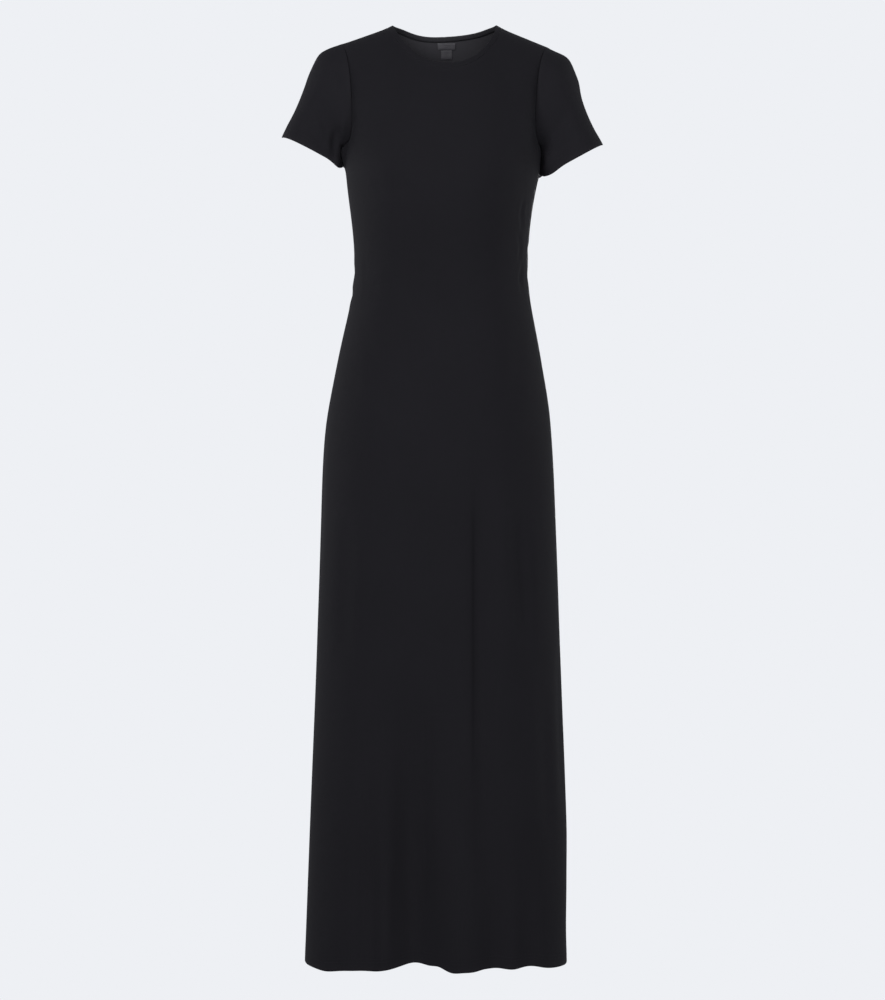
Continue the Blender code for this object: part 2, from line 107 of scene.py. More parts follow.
def new_material(name):
    """A material with nodes, its tree and its main shader."""
    material = bpy.data.materials.new(name)
    material.use_nodes = True
    return material, material.node_tree, material.node_tree.nodes["Principled BSDF"]


# %% World
COVE = (0.855, 0.871, 0.905)
FLAGGED = 0.35


def cove_light(tree):
    """The cove's strength: full to the camera, and the flagged share to the cloth."""
    return spread(tree, add(tree, "LightPath").outputs["Is Camera Ray"], FLAGGED, 1)


scene.view_settings.view_transform = "Standard"
world = bpy.data.worlds.new("white_cove")
world.use_nodes = True
scene.world = world
feed(world.node_tree, world.node_tree.nodes["Background"],
     {"Color": (*COVE, 1), "Strength": cove_light(world.node_tree)})

# %% Floor
FLOOR_LEVEL = -1.62


def light_table():
    """A disc that glows like the cove from above and is clear from below, so that the dress can be seen."""
    disc = bmesh.new()
    bmesh.ops.create_circle(disc, cap_ends=True, segments=96, radius=14)
    bmesh.ops.translate(disc, verts=disc.verts, vec=(0, 0, FLOOR_LEVEL))
    data = bpy.data.meshes.new("pale_floor")
    disc.to_mesh(data)
    disc.free()
    glow, tree, unused_shader = new_material("floor_glow")
    tree.nodes.remove(unused_shader)
    shine = add(tree, "Emission", {"Color": (*COVE, 1), "Strength": cove_light(tree)})
    clear = add(tree, "BsdfTransparent")
    from_below = add(tree, "NewGeometry").outputs["Backfacing"]
    choice = add(tree, "MixShader", {"Fac": from_below, 1: shine.outputs[0], 2: clear.outputs[0]})
    feed(tree, tree.nodes["Material Output"], {"Surface": choice.outputs[0]})
    data.materials.append(glow)
    floor = bpy.data.objects.new("pale_floor", data)
    scene.collection.objects.link(floor)


light_table()
print("floor at", FLOOR_LEVEL)

# %% Soft boxes
lit_cloth = bpy.data.collections.new("lit_cloth")
lit_neck = bpy.data.collections.new("lit_neck")
lit_sleeves = bpy.data.collections.new("lit_sleeves")


def soft_box(name, place, aim, width, height, watts, lit=lit_cloth):
    """An area light for some pieces of the dress alone, so that the floor stays as bright as the world."""
    data = bpy.data.lights.new(name, "AREA")
    data.shape, data.size, data.size_y, data.energy = "RECTANGLE", width, height, watts
    lamp = bpy.data.objects.new(name, data)
    lamp.location = place
    lamp.rotation_euler = (Vector(aim) - Vector(place)).to_track_quat("-Z", "Y").to_euler()
    lamp.visible_camera = False
    lamp.light_linking.receiver_collection = lit
    scene.collection.objects.link(lamp)


soft_box("key_box", (-1.2, -2.4, 0.3), (0, 0, -0.45), 0.8, 1.1, 42)
soft_box("fill_box", (1.2, -2.7, -0.75), (0, 0, -0.85), 0.8, 1.1, 26)
soft_box("left_strip", (-2.0, 0.9, -0.25), (0, 0, -0.5), 0.4, 1.7, 18)
soft_box("right_strip", (2.0, 0.9, -0.3), (0, 0, -0.55), 0.4, 1.7, 14)
soft_box("top_box", (0.4, -1.6, 1.3), (0, 0, -0.1), 0.8, 0.8, 5)
soft_box("back_box", (0.3, 3.2, -0.45), (0, 0, -0.65), 1.2, 1.8, 80)
soft_box("low_box", (0, -2.1, -1.2), (0, 0, -0.2), 0.9, 0.5, 8, lit_sleeves)

# %% [markdown]
# ## Cloth materials
# Fine single jersey is knitted in columns of V-shaped loops, about eleven to the centimetre, so from a step
# away it only looks soft and matt. The loops could be modelled, but there are over a million of them, so a
# node group draws them in height, with painted shade between them, from the flat cut's own coordinates, in
# metres. Those lie still on the cloth and follow every fold. A second group gives the slow unevenness of dyed
# cloth.

# %% The knit
WALE, COURSE = 0.9 * MM, 0.7 * MM
SLANT, LOOP_DIP, PAINTED_LOOP_SHADE = 0.9, 0.45, (0.82, 1.12)
TURN = 2 * math.pi


def new_group(name, inputs, outputs):
    """An empty group with named sockets: the group, what it is given, and its output node."""
    group = bpy.data.node_groups.new(name, "ShaderNodeTree")
    group.interface.new_socket(name="Place", in_out="INPUT", socket_type="NodeSocketVector")
    for socket, value in inputs.items():
        made = group.interface.new_socket(name=socket, in_out="INPUT", socket_type="NodeSocketFloat")
        made.default_value = value
    for socket in outputs:
        group.interface.new_socket(name=socket, in_out="OUTPUT", socket_type="NodeSocketFloat")
    return group, group.nodes.new("NodeGroupInput").outputs, group.nodes.new("NodeGroupOutput")


def jersey_knit_group():
    """Loops in columns (wales) and rows (courses): two slanting legs to a wale, which meet in a V."""
    group, given, result = new_group("jersey_knit", {"Wale": WALE, "Course": COURSE}, ["Height", "Shade"])
    part = add(group, "SeparateXYZ", {0: given["Place"]}).outputs
    wale = maths(group, "DIVIDE", part["X"], given["Wale"])
    course = maths(group, "DIVIDE", part["Y"], given["Course"])
    aside = maths(group, "ABSOLUTE", maths(group, "SUBTRACT", maths(group, "FRACT", wale), 0.5))
    legs = maths(group, "ABSOLUTE", maths(group, "SINE", maths(group, "MULTIPLY", wale, TURN)))
    slant = maths(group, "MULTIPLY_ADD", aside, SLANT, course)
    wave = maths(group, "COSINE", maths(group, "MULTIPLY", slant, TURN))
    loops = maths(group, "MULTIPLY_ADD", wave, 0.5, 0.5)
    height = maths(group, "MULTIPLY", legs, spread(group, loops, LOOP_DIP, 1.0))
    # the colour is painted darker between the loops and lighter on their tops: painted shade, besides the bump
    feed(group, result, {"Height": height, "Shade": spread(group, height, *PAINTED_LOOP_SHADE)})
    return group


# %% The unevenness of dyed cloth
CLOUD_SHARE = 0.75


def dye_unevenness_group():
    """Slow cloudiness and faint streaks along the wales, from 0 to 1."""
    group, given, result = new_group("dye_unevenness", {"Cloud": 0.12, "Streak": 0.004}, ["Tone"])
    cloud = add(group, "TexNoise", {"Vector": given["Place"], "Detail": 3,
                                    "Scale": maths(group, "DIVIDE", 1.0, given["Cloud"])})
    narrow = add(group, "Mapping", {"Vector": given["Place"], "Scale": (1, 0.05, 1)})
    streak = add(group, "TexNoise", {"Vector": narrow.outputs[0], "Detail": 1,
                                     "Scale": maths(group, "DIVIDE", 1.0, given["Streak"])})
    clouds = maths(group, "MULTIPLY", cloud.outputs["Fac"], CLOUD_SHARE)
    streaks = maths(group, "MULTIPLY", streak.outputs["Fac"], 1 - CLOUD_SHARE)
    feed(group, result, {"Tone": maths(group, "ADD", clouds, streaks)})
    return group


KNIT, DYE = jersey_knit_group(), dye_unevenness_group()
print("node groups:", [g.name for g in bpy.data.node_groups])


# %% Jersey
PRESSED_SHINE, PALE_MATT = -0.12, 0.08


def two_tones(tree, dark, light, tone):
    """A colour between a dark and a light one."""
    mix = add(tree, "Mix", {"A": (*dark, 1), "B": (*light, 1), "Factor": tone}, data_type="RGBA")
    return mix.outputs["Result"]


def jersey(name, dark, light, roughness, sheen, wale=WALE, course=COURSE, reads="cut"):
    """Knitted cloth, drawn by its flat cut or its place in the solid, and by how pressed it is."""
    material, tree, shader = new_material(name)
    pressed = add(tree, "Attribute", attribute_name="pressed").outputs["Fac"]
    if reads == "cut":
        place = add(tree, "UVMap", uv_map="cut").outputs[0]
    else:
        place = add(tree, "TexCoord").outputs["Object"]
    knit = add(tree, "Group", {"Place": place, "Wale": wale, "Course": course}, node_tree=KNIT).outputs
    tone = add(tree, "Group", {"Place": place}, node_tree=DYE).outputs["Tone"]

    # the dyed colour scaled by the knit's painted shade
    loop_shaded_colour = add(tree, "VectorMath", {0: two_tones(tree, dark, light, tone), "Scale": knit["Shade"]},
                 operation="SCALE")
    worn = maths(tree, "MULTIPLY_ADD", pressed, PRESSED_SHINE, roughness)
    pucker = add(tree, "TexNoise", {"Vector": place, "Scale": 160, "Detail": 1}).outputs["Fac"]
    coarse = add(tree, "Bump", {"Height": maths(tree, "MULTIPLY", pucker, pressed), "Distance": 0.6 * MM,
                                "Strength": 0.5})
    fine = add(tree, "Bump", {"Height": knit["Height"], "Distance": 0.12 * MM, "Strength": 0.6,
                              "Normal": coarse.outputs[0]})
    feed(tree, shader, {
        "Base Color": loop_shaded_colour.outputs[0], "Roughness": maths(tree, "MULTIPLY_ADD", tone, PALE_MATT, worn),
        "Normal": fine.outputs[0], "Specular IOR Level": 0.10, "Sheen Weight": sheen,
        "Sheen Roughness": 0.45, "Sheen Tint": (0.85, 0.88, 1, 1)})
    return material


face_side = jersey("black_jersey", (0.0082, 0.0078, 0.0100), (0.0118, 0.0112, 0.0142), 0.82, 0.02)
# the wrong side is paler than the face: partly the purl side's own greyer look, partly painted light on the
# inside of the neck
wrong_side_paler_partly_painted_light = jersey("jersey_wrong_side", (0.024, 0.0233, 0.0270), (0.031, 0.0302, 0.0350), 0.9, 0.03,
                    course=0.5 * MM)
# the binding's turned-in side is the face of the same black jersey; this paler colour is painted light on the
# inside of the neck
binding_inside = jersey("binding_inside", (0.030, 0.0293, 0.0339), (0.040, 0.0390, 0.0449), 0.85, 0.03)
thread = jersey("black_thread", (0.010, 0.0096, 0.0125), (0.018, 0.017, 0.021), 0.6, 0.02,
                0.4 * MM, 0.3 * MM, "solid")


# %% Label satin
def label_satin():
    """A blank woven satin: fine ribs across and a faint sheen."""
    material, tree, shader = new_material("label_satin")
    place = add(tree, "TexCoord").outputs["Object"]
    woven = {"Place": place, "Cloud": 0.01, "Streak": 0.0006}
    tone = add(tree, "Group", woven, node_tree=DYE).outputs["Tone"]
    rib = add(tree, "TexWave", {"Vector": place, "Scale": 900}, bands_direction="Z")
    bump = add(tree, "Bump", {"Height": rib.outputs["Fac"], "Distance": 0.1 * MM, "Strength": 0.4})
    feed(tree, shader, {
        "Base Color": two_tones(tree, (0.031, 0.0299, 0.0351), (0.042, 0.0406, 0.0475), tone),
        "Roughness": spread(tree, tone, 0.36, 0.55), "Normal": bump.outputs[0],
        "Specular IOR Level": 0.4, "Anisotropic": 0.5})
    return material


satin = label_satin()
print("materials:", [m.name for m in (face_side, wrong_side_paler_partly_painted_light, binding_inside, thread, satin)])

# %% [markdown]
# ## Lifting the cloth off the solids
# On the real dress each panel is one flat layer of jersey, but its solid is a closed wall. Cloth drawn again
# from nothing might stray from the true outline, so the outer skin of the wall is peeled off instead. A short
# edge that goes straight through the cloth belongs to a rim, and without the rims the wall falls apart into
# an outer and an inner skin. The outer one looks away from the middle of the dress.

# %% Peel the outer skin
THICKEST_RIM = 4.6 * MM
SQUARE_ON = 0.5
SAME_PLACE = 1e-6


def groups(beside):
    """The sets of things that hang together, given what lies beside each."""
    sets, met = [], set()
    for first in beside:
        if first not in met:
            found, waiting = {first}, [first]
            while waiting:
                near = set(beside[waiting.pop()]) - found
                found |= near
                waiting += near
            met |= found
            sets.append(found)
    return sets


def goes_through(edge):
    """Whether an edge goes from the outer to the inner side of the cloth."""
    if edge.calc_length() > THICKEST_RIM:
        return False
    along = (edge.verts[1].co - edge.verts[0].co).normalized()
    broad = [max(v.link_faces, key=lambda f: f.calc_area()) for v in edge.verts]
    return min(abs(along.dot(f.normal)) for f in broad) > SQUARE_ON


def open_sheet(mesh):
    sheet = bmesh.new()
    sheet.from_mesh(mesh)
    sheet.normal_update()
    return sheet


def merged_wall(node):
    """A copy of a solid's mesh, whose loose triangles are merged."""
    wall = open_sheet(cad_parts[node].data)
    bmesh.ops.remove_doubles(wall, verts=wall.verts, dist=SAME_PLACE)
    wall.normal_update()
    return wall


def outer_skin(node, middle):
    """The sheet of a solid's triangles that looks away from the middle."""
    wall = merged_wall(node)
    rim = {f for e in wall.edges if goes_through(e) for f in e.link_faces}
    beside = {f: {g for e in f.edges for g in e.link_faces} - rim for f in wall.faces if f not in rim}

    def outward(sheet):
        return sum(f.calc_area() * f.normal.dot(f.calc_center_median() - Vector(middle)) for f in sheet)

    skin = max(groups(beside), key=outward)
    bmesh.ops.delete(wall, geom=[f for f in wall.faces if f not in skin], context="FACES")
    return wall


# %% [markdown]
# A sleeve bends too sharply at the armhole for that test. Its cuff has two sharp rings, and the longer one is
# the outer. From there the sleeve is walked ring by ring, half as many rings as the whole wall has.

# %% Peel a sleeve
SHARP = math.radians(60)


def neighbours(edges):
    """For each point of these edges, the points at their other ends."""
    beside = {}
    for edge in edges:
        for v in edge.verts:
            beside.setdefault(v, []).append(edge.other_vert(v))
    return beside


def joined(edges):
    """The sets of points that these edges link."""
    return groups(neighbours(edges))


def length_round(ring):
    return sum(e.calc_length() for v in ring for e in v.link_edges if e.other_vert(v) in ring) / 2


def rim_edges(sheet):
    return [e for e in sheet.edges if e.is_boundary]


def rim_rings(sheet):
    """The rings of points round a sheet, the shortest first."""
    return sorted(joined(rim_edges(sheet)), key=length_round)


def sleeve_skin(node):
    """The outer skin of a sleeve, and its cuff's ring of points."""
    wall = merged_wall(node)
    rings = joined([e for e in wall.edges if e.calc_face_angle(0) > SHARP])
    rings.sort(key=lambda ring: sum(abs(v.co.x) for v in ring) / len(ring))
    inner, cuff = sorted(rings[-2:], key=length_round)
    skin, row = set(cuff), set(cuff)
    for step in range(len(wall.verts) // (2 * len(cuff)) - 1):
        row = {e.other_vert(v) for v in row for e in v.link_edges} - skin - inner
        skin |= row
    bmesh.ops.delete(wall, geom=[v for v in wall.verts if v not in skin], context="VERTS")
    print(node, "rings of sharp edges:", [len(r) for r in rings])
    return wall, list(cuff)


# %% Mend the hem's corner
HEM_DEPTH = 20 * MM
NEAR_HEM, CORNER_TOP = -1.39, -1.37


def mend_corner(skin):
    """Gives a side seam back the point at the depth of the hem, where the solid went without it."""
    for edge in rim_edges(skin):
        low, high = sorted(edge.verts, key=lambda v: v.co.z)
        if low.co.z < NEAR_HEM and high.co.z < CORNER_TOP and high.co.z - low.co.z > HEM_DEPTH + MM:
            point = bmesh.utils.edge_split(edge, low, HEM_DEPTH / edge.calc_length())[1]
            face = point.link_faces[0]
            across = next(v for v in face.verts if v not in (low, high, point))
            bmesh.utils.face_split(face, point, across)


# %% [markdown]
# Smoothing needs squares, in rows and columns. A row is one step further from the first edge than the row
# before, and its points hang together in a chain. The rungs between two chains are by turns a side of a
# square and a diagonal, so every second rung is dissolved.

# %% Find the rows and join the triangles
def in_order(beside, first=None):
    """Points in the order of their chain, from its right end or from the first."""
    ends = [v for v in beside if len(beside[v]) == 1]
    chain = [first or (min(ends, key=lambda v: v.co.x) if ends else next(iter(beside)))]
    used = set(chain)
    while True:
        near = [v for v in beside[chain[-1]] if v not in used]
        if not near:
            return chain
        chain.append(near[0])
        used.add(near[0])


def row_in_order(row, first=None):
    """A row's points in order; a tube's row has no end, and is given its first point."""
    members = set(row)
    beside = {v: [e.other_vert(v) for e in v.link_edges if e.other_vert(v) in members] for v in row}
    return in_order(beside, first)


def rungs_between(low, high):
    """The edges between two chains, in order."""
    a, b, rungs = 0, 0, []
    linked = {v: {e.other_vert(v): e for e in v.link_edges} for v in low}
    while True:
        rungs.append(linked[low[a]][high[b]])
        if a + 1 < len(low) and high[b] in linked[low[a + 1]]:
            a += 1
        elif b + 1 < len(high) and high[b + 1] in linked[low[a]]:
            b += 1
        else:
            return rungs


def make_square(node, skin, first_row, tube, start=None):
    """Dissolves the diagonals of a skin, and returns its rows of points, each in order."""
    low, met, diagonals = row_in_order(first_row, start), set(first_row), []
    rows = [low]
    while len(met) < len(skin.verts):
        row = {e.other_vert(v) for v in low for e in v.link_edges} - met
        met |= row
        if tube:
            near = row & {e.other_vert(low[0]) for e in low[0].link_edges}
            high = row_in_order(row, min(near, key=lambda v: (v.co - low[0].co).length))
            if (high[1].co - low[1].co).length > (high[-1].co - low[1].co).length:
                high = [high[0]] + high[:0:-1]
        else:
            high = row_in_order(row)
        rungs = rungs_between(low + low[:tube], high + high[:tube])
        diagonals += rungs[1::2]
        low = high
        rows.append(low)
    bmesh.ops.dissolve_edges(skin, edges=diagonals, use_verts=False)
    odd = sum(len(f.verts) != 4 for f in skin.faces)
    print(node, "skin:", len(skin.faces), "squares,", odd, "odd;", len(rows), "rows of", len(low))
    return rows


# %% [markdown]
# ## The flat cut
# A cutter works on flat cloth. Blender can unroll a skin by itself, but it may stretch a long panel. The rows
# and columns are known here, so each row is laid out straight to its true length and each column keeps its
# own, as pattern makers do with a tape. One unit of this map is one metre, so it also carries the knit.

# %% Lay a skin flat
def distances(places):
    """The distance from the first of these places to each, along them all."""
    found = [0.0]
    for p, q in zip(places, places[1:]):
        found.append(found[-1] + (q - p).length)
    return found


def lay_flat(node, skin, rows, tube):
    """Writes the skin's map "cut", in metres. Returns the cut's width and length."""
    ups = list(zip(*[distances([v.co for v in column]) for column in zip(*rows)]))
    place = {}
    for r, row in enumerate(rows):
        across = distances([v.co for v in row + row[:tube]])
        middle = across[-1] / 2 if tube else across[len(row) // 2]
        for c, point in enumerate(row):
            place[point] = (c, across[c] - middle, across[-1] - middle, ups[r][c])
    cut = skin.loops.layers.uv.new("cut")
    flat, last = 0.0, len(rows[0]) - 1
    for face in skin.faces:
        over_slit = tube and {place[v][0] for v in face.verts} == {0, last}
        corners = []
        for loop in face.loops:
            c, u, full, up = place[loop.vert]
            loop[cut].uv = (full if over_slit and c == 0 else u, up)
            corners.append(loop[cut].uv.copy())
        flat += abs(sum(p.cross(q) for p, q in zip(corners, corners[1:] + corners[:1]))) / 2
    width = max(x[2] if tube else x[1] for x in place.values()) - min(x[1] for x in place.values())
    length = max(x[3] for x in place.values())
    print(node, "cut: %.0f x %.0f mm, %.4f m2" % (width * 1000, length * 1000, flat))
    return width, length


# %% [markdown]
# ## Smooth, fine cloth
# Subdivision rounds the coarse squares into the smooth form of stretched jersey. Then the tall squares of the
# skirt are cut across once more, so that creases can be pushed into them by hand later.

# %% Smooth a skin
LONGEST_CELL = 9 * MM
SHARP_CORNER = math.radians(35)


def keep_corners(skin):
    """Marks the points where an edge turns sharply, so that they aren't rounded off."""
    corner = skin.verts.layers.float.new("crease_vert")
    kept = 0
    for v in skin.verts:
        rim = [e.other_vert(v).co - v.co for e in v.link_edges if e.is_boundary]
        if len(rim) == 2 and rim[0].angle(-rim[1]) > SHARP_CORNER:
            v[corner] = 1.0
            kept += 1
    return kept


def smooth_cloth(node, skin):
    """The fine mesh of a skin, rounded by two steps of subdivision."""
    print(node, "corners kept:", keep_corners(skin))
    coarse = bpy.data.meshes.new(node + "_skin")
    skin.to_mesh(coarse)
    holder = bpy.data.objects.new(node + "_skin", coarse)
    scene.collection.objects.link(holder)
    smoother = holder.modifiers.new("smooth", "SUBSURF")
    smoother.levels = smoother.render_levels = 2
    smoother.boundary_smooth = "PRESERVE_CORNERS"
    smoother.uv_smooth = "PRESERVE_BOUNDARIES"
    fine = bpy.data.meshes.new_from_object(holder.evaluated_get(bpy.context.evaluated_depsgraph_get()))
    fine.name = node + "_cloth"
    bpy.data.objects.remove(holder)
    return fine


def cut_long_rows(mesh):
    """Cuts each row of squares that meets the sheet's edge with a long side once across."""
    sheet, rungs = open_sheet(mesh), set()
    for start in [e for e in rim_edges(sheet) if e.calc_length() > LONGEST_CELL]:
        edge, loop = start, start.link_loops[0]
        while edge not in rungs:
            rungs.add(edge)
            across = loop.link_loop_next.link_loop_next
            edge, loop = across.edge, across.link_loop_radial_next
            if edge.is_boundary:
                rungs.add(edge)
    bmesh.ops.subdivide_edges(sheet, edges=[e for e in sheet.edges if e in rungs], cuts=1, use_grid_fill=True)
    sheet.to_mesh(mesh)
    print(mesh.name, "fine mesh:", len(sheet.faces), "faces")
    sheet.free()


# %% Peel, lay flat and smooth every cloth piece
NECK_MIDDLE, DRESS_MIDDLE = (0, 0, -0.3), (0, 0, -0.7)


def peel(node):
    """A piece's skin, its first row, and for a tube the point where its slit begins."""
    if node in SLEEVES:
        skin, cuff = sleeve_skin(node)
        return skin, cuff, min(cuff, key=lambda v: abs(v.co.x))
    if node == "neck_binding":
        skin = outer_skin(node, NECK_MIDDLE)
        neckline = rim_rings(skin)[0]
        return skin, list(neckline), max(neckline, key=lambda v: v.co.y)
    skin = outer_skin(node, DRESS_MIDDLE)
    mend_corner(skin)
    return skin, [v for v in skin.verts if v.is_boundary and v.co.z < NEAR_HEM], None


cloth, cut_of = {}, {}
for node in PIECES:
    tube = node not in PANELS
    skin, first_row, start = peel(node)
    rows = make_square(node, skin, first_row, tube, start)
    cut_of[node] = lay_flat(node, skin, rows, tube)
    cloth[node] = smooth_cloth(node, skin)
    skin.free()
    if not tube:
        cut_long_rows(cloth[node])

# %% [markdown]
# ## Small pulls
# Before the creases, the cloth is pulled in a few listed places where smoothing has rounded it too much: the
# corners of the shoulders, the tips of the cuffs, the slack under the arms and the waves of the hem. A pull
# moves all the cloth near one place together, so seams stay closed. Under the arms some move a sleeve alone.

# %% Pull the cloth
# place, reach and shift, with x, y and z in mm, and the piece if it is pulled alone
PULLS = (
    ((-187, 0, -46), 15, (-0.4, 0, 2.6)),
    ((-203, 0, -74), 14, (-0.6, 0, 0)),
    ((-166, 0, -38), 15, (0, 0, 1.9)),
    ((194, 0, -56), 16, (0.6, 0, 3.2)),
    ((201, 0, -84), 16, (2.4, 0, 0.6)),
    ((180, 0, -50), 14, (0, 0, 1.4)),
    ((34, 46, -20), 30, (0, 0, 2.6)),
    ((-60, 20, -5), 22, (0, 0, 2)),
    ((-78, 4, 0), 10, (0, 0, 1.4)),
    ((66, 20, -4), 22, (0, 0, 1.8)),
    ((78, 4, 0), 10, (0, 0, 1.6)),
    ((-160, 0, -208), 15, (0, 0, -5)),
    ((158, 0, -215), 15, (0, 0, -4.6)),
    ((-147, -5, -189), 17, (-8.5, 0, 0)),
    ((163, -19, -221), 13, (0, 0, -3.6), "sleeve_left"),
    ((-161, -10, -211), 13, (0, 0, -2), "sleeve_right"),
    ((-150, 0, -196), 22, (3, 0, 0), "sleeve_right"),
    ((-148, 0, -187), 11, (1.6, 0, 0), "sleeve_right"),
    ((145, 0, -182), 10, (-1.2, 0, 0), "sleeve_left"),
    ((-154, -6, -198), 16, (0, -13, 0), "sleeve_right"),
    ((151, -8, -202), 16, (0, -14, 0), "sleeve_left"),
    ((148, 0, -204), 24, (-5, 0, 0), "sleeve_left"),
    ((141, 16, -228), 14, (0, 0, 7.5), "sleeve_left"),
    ((144, -2, -229), 9, (0, 0, 4), "sleeve_left"),
    ((-149, 16, -215), 15, (0, 0, 7.5), "sleeve_right"),
    ((-154, -7, -217), 11, (0, 0, 4.2), "sleeve_right"),
    ((-238, 0, -168), 24, (-1.6, 0, -1.2)),
    ((232, 0, -178), 20, (1.6, 0, -0.6)),
    ((-128, 0, -390), 60, (1.2, 0, 0)),
    ((118, 0, -385), 60, (-1.3, 0, 0)),
    ((-150, 0, -600), 50, (-1.1, 0, 0)),
    ((140, 0, -570), 40, (0.8, 0, 0)),
    ((168, 0, -1210), 50, (0.9, 0, 0)),
    ((172, 0, -1352), 40, (-1, 0, 0)),
    ((-164, -40, -1394), 24, (0, 0, -4.6)),
    ((-193, -6, -1390), 16, (0, 0, 3.4)),
    ((-108, -84, -1396), 14, (0, 0, -1.7)),
    ((-44, -84, -1394), 16, (0, 0, 2)),
    ((-11, -84, -1394), 13, (0, 0, 3.8)),
    ((16, -84, -1396), 13, (0, 0, -2.6)),
    ((53, -84, -1394), 12, (0, 0, 2.6)),
    ((88, -80, -1394), 14, (0, 0, -0.9)),
    ((110, -74, -1394), 10, (0, 0, 1)),
)


def whole_surface(meshes):
    """One tree of all the cloth, to throw points onto."""
    points, faces = [], []
    for mesh in meshes:
        start = len(points)
        points += [v.co.copy() for v in mesh.vertices]
        faces += [[start + i for i in f.vertices] for f in mesh.polygons]
    return BVHTree.FromPolygons(points, faces)


def vectors(mesh, kind):
    """The places (co) or normals of a mesh's points, one to a row."""
    rows = np.zeros(len(mesh.vertices) * 3)
    mesh.vertices.foreach_get(kind, rows)
    return rows.reshape(-1, 3)


def put_points(mesh, co):
    mesh.vertices.foreach_set("co", co.ravel())
    mesh.update()


def pull_cloth(meshes):
    """Moves the cloth near each place, with a soft edge to the pull."""
    surface = whole_surface(meshes)
    places = [surface.find_nearest(Vector(pull[0]) * MM)[0] for pull in PULLS]
    for mesh in meshes:
        co = vectors(mesh, "co")
        moved = co.copy()
        for place, (_, reach, shift, *alone) in zip(places, PULLS):
            if not alone or mesh.name.startswith(*alone):
                near = np.exp(-(np.linalg.norm(co - place, axis=1) / (reach * MM)) ** 2)
                moved += near[:, None] * np.array(shift) * MM
        put_points(mesh, moved)
        print(mesh.name, "pulled by up to %.1f mm" % (np.linalg.norm(moved - co, axis=1).max() * 1000))


# %% [markdown]
# ## Creases
# Worn jersey is never quite smooth. It drags from the armpits, buckles at the waist and falls in long soft
# folds from the hips. Each crease is drawn as a short line on one side of the dress, thrown onto the cloth
# from that side, and pushed in as a trough with soft lips.

# %% The creases
# points (across, height), half width and depth in mm; lip as a share of the depth; lean to one side, if any
FRONT_CREASES = (
    # the skirt: the crease beside the middle, the folds beside it and the folds to the hem
    (((45, -655), (45, -760), (45, -900), (45, -1040), (44, -1165)), 12, 2.1, 0.15, 0.65),
    (((104, -690), (111, -780), (118, -880), (122, -960)), 13, 2.2, 0.2),
    (((-108, -1080), (-111, -1180), (-112, -1290), (-110, -1404)), 16, 1.9, 0.25),
    (((-46, -880), (-48, -1000), (-50, -1110), (-52, -1230), (-52, -1404)), 18, 2.1, 0.1),
    (((-26, -930), (-28, -1100), (-28, -1404)), 13, 1.6, 0.1),
    (((-84, -1220), (-86, -1310), (-88, -1404)), 10, -1.6, 0.1),
    (((-140, -700), (-146, -840), (-150, -980)), 14, 1.4, 0.2),
    (((12, -800), (10, -940), (6, -1090), (4, -1240)), 18, 1.2, 0.2, 0.2),
    (((146, -980), (150, -1100), (154, -1240)), 11, 1.6, 0.2),
    # under the bust and beside the arms
    (((-112, -249), (-92, -256), (-66, -258), (-44, -252)), 13, 1.6, 0.2, 0.2),
    (((104, -252), (88, -258), (64, -260), (46, -254)), 12, 1.0, 0.2, 0.2),
    (((-154, -215), (-146, -185), (-138, -160), (-126, -132)), 8, 1.6, 0.35),
    (((146, -225), (141, -196), (135, -165), (124, -134)), 7, 1.5, 0.4),
    (((-141, -208), (-128, -214), (-108, -216)), 7, 1.4, 0.3),
    (((138, -212), (124, -219), (106, -222)), 7, 1.2, 0.3),
    (((-158, -60), (-150, -86), (-145, -112)), 7, 1.2, 0.3),
    (((152, -64), (146, -90), (141, -118)), 7, 1.2, 0.3),
    (((-70, -66), (-92, -92), (-108, -118)), 12, 0.8, 0.2),
    (((74, -70), (94, -96), (106, -122)), 12, 0.7, 0.2),
    # the waist
    (((118, -262), (113, -290), (116, -318)), 5, 1.4, 0.4),
    (((108, -312), (113, -338), (109, -366)), 5, 1.3, 0.4),
    (((117, -352), (112, -380), (115, -408)), 5, 1.2, 0.4),
    (((-122, -356), (-114, -372), (-98, -380)), 6, 1.2, 0.4),
    (((-124, -384), (-112, -396), (-92, -400)), 6, 1.3, 0.4),
    (((-126, -412), (-112, -418), (-96, -420)), 6, 1.0, 0.4),
    (((118, -378), (104, -390), (86, -394)), 6, 1.0, 0.4),
    (((-50, -372), (-20, -378), (12, -376)), 9, 0.6, 0.3),
    (((-118, -468), (-100, -520), (-88, -580)), 14, 1.0, 0.2),
    (((116, -470), (104, -526), (96, -590)), 14, 1.0, 0.2),
    # the sleeves
    (((-160, -216), (-163, -196), (-164, -180), (-158, -150)), 6, 3.2, 0.3),
    (((-206, -150), (-190, -172), (-176, -188)), 7, 1.2, 0.4),
    (((-196, -110), (-180, -140), (-166, -176)), 9, 1.2, 0.3),
    (((198, -158), (184, -178), (168, -200)), 7, 1.4, 0.4),
    (((190, -116), (176, -146), (162, -182)), 9, 1.2, 0.3),
)
